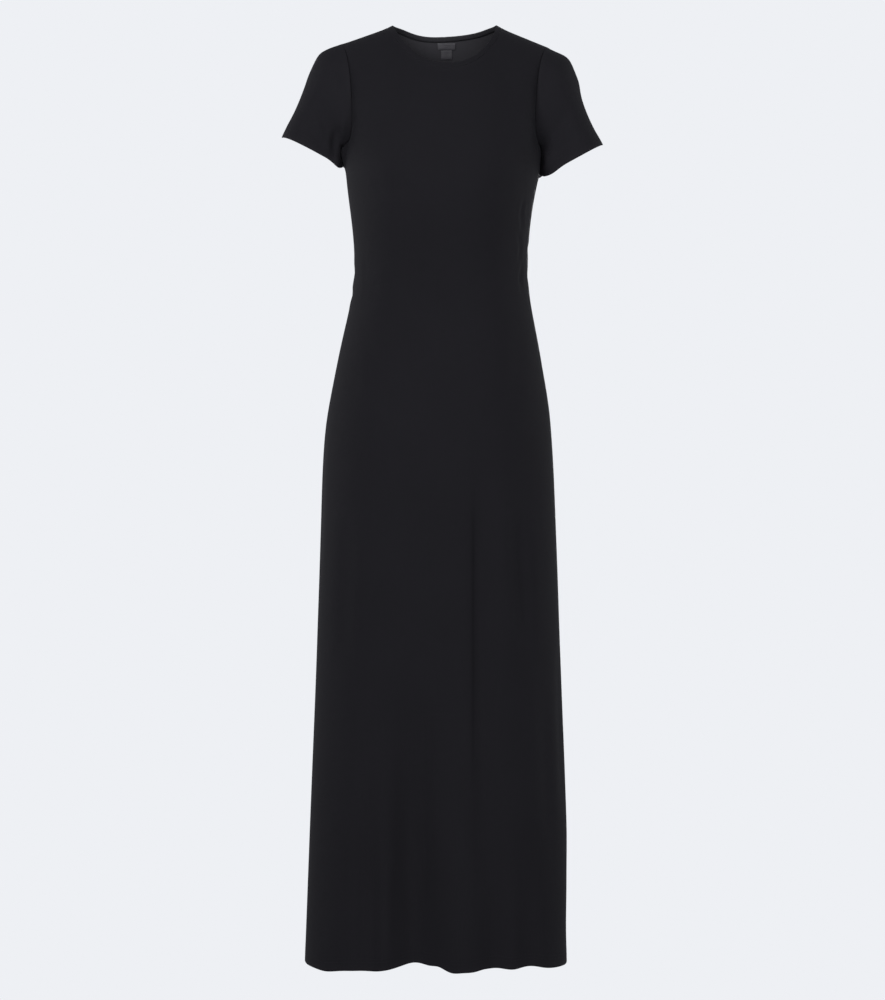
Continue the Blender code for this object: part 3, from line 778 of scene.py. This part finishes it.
BACK_CREASES = (
    # the skirt
    (((-60, -700), (-66, -840), (-70, -980), (-72, -1130), (-70, -1300)), 12, 2.4, 0.35, 0.3),
    (((28, -760), (30, -900), (30, -1060), (27, -1230)), 14, 2.0, 0.3, -0.2),
    (((112, -720), (120, -860), (126, -1000)), 12, 1.8, 0.2),
    (((-128, -860), (-134, -1000), (-138, -1140)), 11, 1.8, 0.2),
    (((98, -1120), (100, -1240), (101, -1404)), 11, 2.2, 0.3),
    (((-118, -1190), (-119, -1290), (-119, -1404)), 10, 2.0, 0.3),
    # the waist
    (((-108, -372), (-76, -388), (-30, -392), (10, -386)), 8, 1.6, 0.4, 0.1),
    (((106, -380), (72, -402), (28, -410), (-16, -404)), 8, 1.5, 0.4, 0.1),
    (((-104, -418), (-66, -432), (-24, -430)), 9, 1.2, 0.4),
    (((96, -436), (60, -448), (26, -446)), 9, 1.0, 0.4),
    (((-60, -344), (-16, -352), (34, -348)), 9, 0.9, 0.3),
    # beside the arms and over the shoulders and the seat
    (((-148, -205), (-136, -176), (-120, -150), (-98, -130)), 9, 2.0, 0.35),
    (((142, -208), (132, -180), (118, -154), (96, -134)), 9, 2.0, 0.35),
    (((-134, -222), (-104, -246), (-72, -256)), 9, 1.2, 0.3),
    (((130, -226), (102, -250), (68, -262)), 9, 1.2, 0.3),
    (((-40, -70), (0, -76), (44, -72)), 14, 0.8, 0.2),
    (((-96, -480), (-80, -540), (-72, -610)), 15, 1.0, 0.2),
    (((92, -486), (78, -548), (72, -620)), 15, 1.0, 0.2),
    # the sleeves
    (((-208, -146), (-192, -160), (-170, -176)), 8, 1.3, 0.4),
    (((-186, -90), (-176, -120), (-162, -150)), 9, 1.2, 0.3),
    (((200, -150), (186, -168), (164, -182)), 8, 1.3, 0.4),
    (((180, -96), (172, -126), (158, -156)), 9, 1.2, 0.3),
)
RIGHT_CREASES = (
    (((-30, -362), (0, -372), (34, -368)), 9, 0.9, 0.4),
    (((-26, -398), (4, -406), (30, -400)), 7, 1.1, 0.4),
    (((-16, -560), (-20, -700), (-18, -860)), 12, 1.2, 0.2),
    (((26, -820), (30, -980), (30, -1150)), 12, 1.8, 0.2),
)
LEFT_CREASES = (
    (((-28, -366), (2, -378), (30, -374)), 9, 0.8, 0.4),
    (((-22, -330), (6, -338), (28, -332)), 7, 0.9, 0.4),
    (((20, -600), (24, -740), (24, -900)), 12, 1.4, 0.2),
    (((-26, -900), (-30, -1040), (-30, -1200)), 12, 1.6, 0.2),
)
# the way out of each side, the axis that runs across it, and its creases
SIDES = (((0, -1, 0), 0, FRONT_CREASES), ((0, 1, 0), 0, BACK_CREASES),
         ((-1, 0, 0), 1, RIGHT_CREASES), ((1, 0, 0), 1, LEFT_CREASES))

# %% Press them in
LINE_STEPS = 5
CREASE_REACH, LIP_PLACE, LIP_WIDTH = 3.2, 1.7, 0.75
END_SHARE = 0.3
SEAM_FLAT, SEAM_HOLD = 1.5 * MM, 12 * MM
HEM_LINE = -1.385
FAR = 9.0


def thrown(out, axis, points, surface):
    """A drawn line's points on the cloth, and how far along it each is, from 0 to 1."""
    places = []
    for (a, z), (b, w) in zip(points, points[1:]):
        for k in range(LINE_STEPS):
            t = k / LINE_STEPS
            places.append((a + (b - a) * t, z + (w - z) * t))
    places.append(points[-1])
    found = []
    for across, height in places:
        start = out * 1.0
        start[axis], start.z = across * MM, height * MM
        hit = surface.ray_cast(start, -out)[0]
        if hit:
            found.append(hit)
    steps = np.array(distances(found))
    return np.array(found), steps / steps[-1]


def near_line(p, line, along, out):
    """For each point: how far it is from a line, how far along the line, and on which side of it."""
    best, share, side = np.full(len(p), FAR), np.zeros(len(p)), np.zeros(len(p))
    for k in range(len(line) - 1):
        step = line[k + 1] - line[k]
        t = np.clip((p - line[k]) @ step / (step @ step), 0, 1)
        away = p - line[k] - t[:, None] * step
        gap = np.linalg.norm(away, axis=1)
        closer = gap < best
        best[closer] = gap[closer]
        share[closer] = (along[k] + t * (along[k + 1] - along[k]))[closer]
        side[closer] = (away @ np.cross(step, np.array(out)))[closer]
    return best, share, side


def eased(x):
    """Takes 0 to 1 along a soft S, and keeps what is beyond at 0 or 1."""
    x = np.clip(x, 0, 1)
    return x ** 2 * (3 - 2 * x)


def tree_of(places):
    """A tree that finds the nearest of these places."""
    tree = KDTree(len(places))
    for index, place in enumerate(places):
        tree.insert(place, index)
    tree.balance()
    return tree


def seam_points():
    """A tree of the points along the seams that join cloth at an angle: both armholes and the neckline."""
    found = []
    for node in (*SLEEVES, "neck_binding"):
        sheet = open_sheet(cloth[node])
        found += [v.co.copy() for v in rim_rings(sheet)[-1]]
        sheet.free()
    return tree_of(found)


def press_creases(meshes):
    """Pushes every crease into every mesh that it reaches. The seams hold it flat."""
    surface, seams, lines = whole_surface(meshes), seam_points(), []
    for way_out, axis, creases in SIDES:
        for points, half, depth, lip, *lean in creases:
            out = Vector(way_out)
            lines.append((*thrown(out, axis, points, surface), out, half * MM, depth * MM, lip, sum(lean)))
    for mesh in meshes:
        co, normal = vectors(mesh, "co"), vectors(mesh, "normal")
        push = np.zeros(len(co))
        for line, along, out, half, depth, lip, lean in lines:
            reach = CREASE_REACH * half * (1 + abs(lean))
            near = np.all((co > line.min(0) - reach) & (co < line.max(0) + reach), axis=1).nonzero()[0]
            gap, share, side = near_line(co[near], line, along, out)
            s = gap / (half * np.where(side > 0, 1 - lean, 1 + lean))
            shape = -np.exp(-s ** 2) + lip * np.exp(-((s - LIP_PLACE) / LIP_WIDTH) ** 2)
            to_end = share if line[-1][2] < HEM_LINE else np.minimum(share, 1 - share)
            push[near] += depth * shape * eased(to_end / END_SHARE)
        away = np.array([seams.find(place)[2] for place in co])
        push *= eased((away - SEAM_FLAT) / SEAM_HOLD)
        put_points(mesh, co + normal * push[:, None])
        print(mesh.name, "creased: %.1f mm in, %.1f mm out" % (-push.min() * 1000, push.max() * 1000))


# %% [markdown]
# Under the arms the sleeve rests on the bodice's side. A pull can take it through, so whatever lies too deep
# there is pushed out again until it only rests, and less so beside the armhole's seam, which stays closed.

# %% Lay the sleeves against the sides
RESTING, DEEPEST = 0.4 * MM, 7 * MM
UNDERARM = -0.172
SEAM_EASE = 4 * MM


def lay_against(sleeve, bodice, seams):
    """Pushes cloth that has gone into the bodice's side under the arm out, so that it lies against it."""
    moved = 0
    for v in sleeve.vertices:
        if v.co.z < UNDERARM:
            place, normal, _, gap = bodice.find_nearest(v.co)
            above = (v.co - place).dot(normal)
            if gap < DEEPEST and above < RESTING:
                v.co += normal * (RESTING - above) * min(1, seams.find(v.co)[2] / SEAM_EASE)
                moved += 1
    sleeve.update()
    print(sleeve.name, "laid against the side:", moved, "points")


pull_cloth(list(cloth.values()))
press_creases([cloth[n] for n in PIECES if n != "neck_binding"])
bodice, armholes = whole_surface([cloth[n] for n in PANELS]), seam_points()
for node in SLEEVES:
    lay_against(cloth[node], bodice, armholes)

# %% [markdown]
# ## Turned edges
# Jersey's raw edges are never left showing. A hem is folded up inside and stitched. At a seam one sheet turns
# under itself and the other goes on below it, so no light comes through. The edge of each sheet is therefore
# carried on step by step. A profile says where each step lies: how far back from the edge, or below the
# neighbouring sheet where that is negative, and how deep under the face.

# %% How edges are turned
# the steps of each fold: how far back from the edge and how deep, in mm
TURN_UP = (0.85, 0), (0.25, 0.25), (0, 0.85), (0.25, 1.45), (0.85, 1.7)
FOLDS = {
    "hem": (*TURN_UP, (10, 1.7), (20, 1.7)),
    "cuff": (*TURN_UP, (8, 1.7), (16, 1.7)),
    "turned": ((0.8, 0), (0.3, 0.1), (-0.1, 0.45), (-0.1, 1.0), (0.35, 1.55), (0.9, 1.7), (7, 1.7)),
    "lapped": ((0.8, 0), (0.3, 0.1), (-0.12, 0.45), (-0.15, 1.0), (-0.6, 1.95), (-3, 1.95), (-6.5, 1.95)),
    "bound": ((0.7, 0), (0.3, 0.08), (-0.08, 0.3), (-0.08, 0.5), (-0.08, 0.6), (-0.08, 0.7), (-0.08, 0.8)),
    "binding": ((0.9, 0), (0.25, 0.3), (0, 0.95), (0.25, 1.6), (0.9, 1.85), (6, 1.85), (11.5, 1.95)),
}
FOLD_STEPS = len(FOLDS["hem"])
LEVEL = 0.6
SHOULDER_LINE, SHOULDER_SLACK, ALONG_SHOULDER = 4 * MM, 1.2 * MM, 0.1
NECK_LOW, NECK_REACH = -0.08, 87.5 * MM
ARMHOLE_LOW, ARMHOLE_IN = -0.1835, 100 * MM


def fold_of(node, edge, outer_ring):
    """The fold that an edge of a piece is turned by, and the pieces that it is sewn to."""
    middle = (edge.verts[0].co + edge.verts[1].co) / 2
    along = (edge.verts[1].co - edge.verts[0].co).normalized()
    if node == "neck_binding":
        return ("bound", PANELS) if edge.verts[0] in outer_ring else ("binding", ())
    if node in SLEEVES:
        return ("turned", PANELS) if edge.verts[0] in outer_ring else ("cuff", ())
    if middle.z < NEAR_HEM and abs(along.z) < LEVEL:
        return "hem", ()
    on_shoulder = abs(middle.y - SHOULDER_LINE) < SHOULDER_SLACK and abs(along.y) < ALONG_SHOULDER
    if middle.z > NECK_LOW and abs(middle.x) < NECK_REACH and not on_shoulder:
        return "bound", ("neck_binding",)
    if middle.z > ARMHOLE_LOW and abs(middle.x) > ARMHOLE_IN and not on_shoulder:
        return "lapped", SLEEVES
    return ("turned", ("back",)) if node == "front" else ("lapped", ("front",))


def rim_of(node, sheet):
    """A sheet's edges, each with the way into the cloth, its fold and what it is sewn to."""
    outer_ring, found = rim_rings(sheet)[-1], []
    for edge in rim_edges(sheet):
        face = edge.link_faces[0]
        inward = face.normal.cross(edge.verts[1].co - edge.verts[0].co).normalized()
        if inward.dot(face.calc_center_median() - edge.verts[0].co) < 0:
            inward.negate()
        found.append((edge, inward, *fold_of(node, edge, outer_ring)))
    return found


def all_rims(meshes):
    """For each piece, a tree of its edges and the way into the cloth from each."""
    found = {}
    for node, mesh in meshes.items():
        sheet = open_sheet(mesh)
        rim = rim_of(node, sheet)
        tree = tree_of([(edge.verts[0].co + edge.verts[1].co) / 2 for edge, *_ in rim])
        found[node] = tree, [inward.copy() for _, inward, *_ in rim]
        sheet.free()
    return found


def edge_pulls(node, sheet, rims):
    """For each edge point, of the edges that meet there: into the cloth, into the neighbour, and the fold."""
    pulls = {}
    for edge, inward, fold, mates in rim_of(node, sheet):
        for v in edge.verts:
            beyond, nearest = -inward, FAR
            for tree, ways in (rims[mate] for mate in mates):
                _, index, gap = tree.find(v.co)
                if gap < nearest:
                    beyond, nearest = ways[index], gap
            pulls.setdefault(v, []).append((inward, beyond, fold))
    return pulls


SHARP_TURN, NEARLY_STRAIGHT = -0.4, 0.3
STANDING = 0.6


def fold_point(surface, own, home, own_normal, pull, step):
    """An edge point's place at a step of its fold. Where a seam turns back on itself, the lap stands up."""
    shift, depth, stands, beside = Vector(), 0.0, False, False
    for inward, beyond, fold in (pull[0], pull[-1]):
        back, deep = FOLDS[fold][step]
        lap = back < 0 and beyond.dot(inward) < SHARP_TURN
        shift += beyond * -back if lap else inward * back
        stands, beside = stands or (back < 0 and not lap), beside or back < 0
        depth = max(depth, min(deep, STANDING) if back < 0 and not lap else deep)
    turn = pull[0][0].dot(pull[-1][0])
    if pull[0][2] == pull[-1][2] and turn > NEARLY_STRAIGHT:
        shift /= 1 + turn
    place, normal, _, _ = (surface if beside else own).find_nearest(home + shift * MM)
    if stands:
        place, normal = home + shift * MM, own_normal
    return place - normal * (depth * MM)


# %% Turn the edges
SHOWN_FOLD = 9 * MM
SEAM_DIP = 0.35 * MM
SLIT_JUMP = 0.1
PAINTED_LIGHT_SLOT, OUTSIDE_STEPS = 2, 2


def mark_pressed(pressed, seams):
    """Writes how near each point is to a pressed edge, from 0 to 1."""
    gaps, ring = {v: 0.0 for v in seams}, set(seams)
    while ring:
        following = set()
        for v in ring:
            for e in v.link_edges:
                w, gap = e.other_vert(v), gaps[v] + e.calc_length()
                if gap < gaps.get(w, SHOWN_FOLD):
                    gaps[w] = gap
                    following.add(w)
        ring = following
    for v, gap in gaps.items():
        v[pressed] = 1 - gap / SHOWN_FOLD


def slit_points(sheet):
    """The points along a tube's closing seam, where the flat cut jumps from one end to the other."""
    cut = sheet.loops.layers.uv["cut"]
    across = {v: [loop[cut].uv.x for loop in v.link_loops] for v in sheet.verts}
    return [v for v, places in across.items() if max(places) - min(places) > SLIT_JUMP]


def turn_under(node, mesh, surface, rims):
    """Carries a sheet's edges round their folds, and dips a tube's seam."""
    sheet = open_sheet(mesh)
    pressed = sheet.verts.layers.float.new("pressed")
    pulls = edge_pulls(node, sheet, rims)
    edges = rim = rim_edges(sheet)
    slit = slit_points(sheet)
    mark_pressed(pressed, set(pulls) | set(slit))
    for v in slit:
        v.co -= v.normal * SEAM_DIP

    own = BVHTree.FromBMesh(sheet)
    homes, origin = {v: (v.co.copy(), v.normal.copy()) for v in pulls}, {v: v for v in pulls}
    for step in range(1, FOLD_STEPS):
        made = bmesh.ops.extrude_edge_only(sheet, edges=edges)["geom"]
        source = {}
        for face in [g for g in made if isinstance(g, bmesh.types.BMFace)]:
            # the binding's turned-in steps take the paler material, painted light
            face.material_index = PAINTED_LIGHT_SLOT if node == "neck_binding" and step > OUTSIDE_STEPS else 0
        for v in [g for g in made if isinstance(g, bmesh.types.BMVert)]:
            source[v] = next(origin[e.other_vert(v)] for e in v.link_edges if e.other_vert(v) in origin)
            v[pressed] = 1.0
        edges = [g for g in made if isinstance(g, bmesh.types.BMEdge) and all(v in source for v in g.verts)]
        for v, first in source.items():
            v.co = fold_point(surface, own, *homes[first], pulls[first], step)
        origin = source
    for v, pull in pulls.items():
        v.co = fold_point(surface, own, *homes[v], pull, 0)
    wrong = sum(e.is_manifold and not e.is_contiguous for e in sheet.edges)
    sheet.to_mesh(mesh)
    print(mesh.name, "turned under:", len(rim), "edges, slit", len(slit), "points,", wrong, "badly wound;",
          len(sheet.faces), "faces")
    sheet.free()


# %% Find the stitches' places, then turn every piece
PITCH = 3.1 * MM


def stitch_line(node, fold, back):
    """Places some way back from an edge of the cloth: the point, direction and face normal of each."""
    sheet = open_sheet(cloth[node])
    surface = BVHTree.FromBMesh(sheet)
    rim, ways = [], {}
    for edge, inward, kind, _ in rim_of(node, sheet):
        if kind == fold:
            rim.append(edge)
            for v in edge.verts:
                ways[v] = ways.get(v, Vector()) + inward
    beside = neighbours(rim)
    chain = in_order(beside)
    if all(len(near) == 2 for near in beside.values()):
        chain.append(chain[0])
    line = [surface.find_nearest(v.co + ways[v].normalized() * back * MM)[0] for v in chain]
    places, walked = [], PITCH / 2
    for p, q in zip(line, line[1:]):
        length = (q - p).length
        while walked < length:
            place, normal, _, _ = surface.find_nearest(p.lerp(q, walked / length))
            places.append((place, (q - p).normalized(), normal))
            walked += PITCH
        walked -= length
    sheet.free()
    return places


# the rows of each seam: piece, fold, and how far back from the edge, in mm
STITCH_ROWS = {
    "hem_stitching": [(n, "hem", back) for n in PANELS for back in (13.0, 18.0)],
    "cuff_stitching": [(n, "cuff", back) for n in SLEEVES for back in (9.5, 14.0)],
    "neck_stitching": [("neck_binding", "bound", 1.5)],
}
stitches = {name: [place for row in rows for place in stitch_line(*row)]
            for name, rows in STITCH_ROWS.items()}
print("stitches:", {name: len(places) for name, places in stitches.items()})

all_cloth, rims = whole_surface(cloth.values()), all_rims(cloth)
for node in PIECES:
    turn_under(node, cloth[node], all_cloth, rims)

# %% [markdown]
# ## The cloth's thickness
# The sheets are still without thickness. A Solidify modifier gives each its 0.8 mm inwards, so the face that
# shows stays exactly where it is, and puts the wrong side's paler colour on the inside: partly the purl
# side's own greyer look, partly painted light. Every piece then takes the place of its solid, which is
# hidden, and rides on the dress.

# %% Hang the pieces
CLOTH = 0.8 * MM
# what is turned under, across and along each piece, in mm
ALLOWANCE = {**dict.fromkeys(PANELS, (14, 27)), **dict.fromkeys(SLEEVES, (14, 23)), "neck_binding": (0, 13.5)}


def show(piece):
    """Puts a piece in the scene and in the soft boxes' light, and makes it ride on the dress."""
    scene.collection.objects.link(piece)
    lit_cloth.objects.link(piece)
    piece.data.polygons.foreach_set("use_smooth", [True] * len(piece.data.polygons))
    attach(piece, "root")
    return piece


def hang(node):
    """Makes a cloth piece of its sheet."""
    mesh = cloth[node]
    for finish in (face_side, wrong_side_paler_partly_painted_light, binding_inside):
        mesh.materials.append(finish)
    piece = show(bpy.data.objects.new(node + "_cloth", mesh))
    wall = piece.modifiers.new("cloth_thickness", "SOLIDIFY")
    wall.thickness, wall.offset = CLOTH, -1
    # the inside takes the wrong side's paler colour, partly painted light
    wall.material_offset = 1
    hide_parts(node)
    return piece


pieces = {node: hang(node) for node in PIECES}

# %% [markdown]
# ## Stitching
# Jersey hems are closed with a twin needle: two rows of stitches, about eight to the inch, a few millimetres
# below the raw edge inside. Each stitch is a small stretched ball half sunk in the cloth. There are over a
# thousand, so each has only a few faces.

# %% Stitches
STITCH = Vector((2.3, 0.42, 0.34)) * MM
STITCH_RISE = 0.05 * MM
BATCH = 24


def sew(name, places):
    """One mesh of all the stitches of a seam, made a few at a time."""
    seam = bmesh.new()
    data = bpy.data.meshes.new(name)
    size = Matrix.Diagonal((*(STITCH / 2), 1))
    for first in range(0, len(places), BATCH):
        few = bmesh.new()
        for place, along, normal in places[first:first + BATCH]:
            side = normal.cross(along).normalized()
            turned = Matrix((side.cross(normal), side, normal)).transposed().to_4x4()
            ball = Matrix.Translation(place + normal * STITCH_RISE) @ turned @ size
            bmesh.ops.create_uvsphere(few, u_segments=6, v_segments=4, radius=1, matrix=ball)
        few.to_mesh(data)
        few.free()
        seam.from_mesh(data)
    seam.to_mesh(data)
    seam.free()
    data.materials.append(thread)
    return show(bpy.data.objects.new(name, data))


for name, places in stitches.items():
    sewn = sew(name, places)
    print(name, len(sewn.data.polygons), "faces")

# %% [markdown]
# ## Labels
# A small woven satin label and a smaller tab under it hang inside the back of the neck. Both are blank. Their
# shape is the solids' own, with the soft edges of folded ribbon. One more soft box, low and wide, lights them
# and the inside of the back over the front's neckline, which shades the lower part.

# %% The two labels
RIBBON_CORNER, RIBBON_EDGE = math.radians(50), 0.28 * MM


def ribbon(node):
    """A copy of a label's solid with soft edges and the satin's finish."""
    label = merged_wall(node)
    sharp = [e for e in label.edges if e.calc_face_angle(0) > RIBBON_CORNER]
    bmesh.ops.bevel(label, geom=sharp, offset=RIBBON_EDGE, offset_type="OFFSET", segments=3, profile=0.5,
                    affect="EDGES", material=-1, clamp_overlap=True)
    data = bpy.data.meshes.new(node + "_satin")
    label.to_mesh(data)
    label.free()
    data.materials.append(satin)
    piece = show(bpy.data.objects.new(node + "_satin", data))
    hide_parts(node)
    return piece


neck_label, size_tab = ribbon("neck_label"), ribbon("size_tab")
for node in SLEEVES:
    lit_sleeves.objects.link(pieces[node])
for piece in (pieces["back"], neck_label, size_tab):
    lit_neck.objects.link(piece)
soft_box("neck_box", (0.17, -2.0, -0.4), (0, 0.05, -0.04), 1.2, 0.8, 26, lit_neck)
print("labels:", neck_label.name, size_tab.name)

# %% Update the scene
bpy.context.view_layer.update()
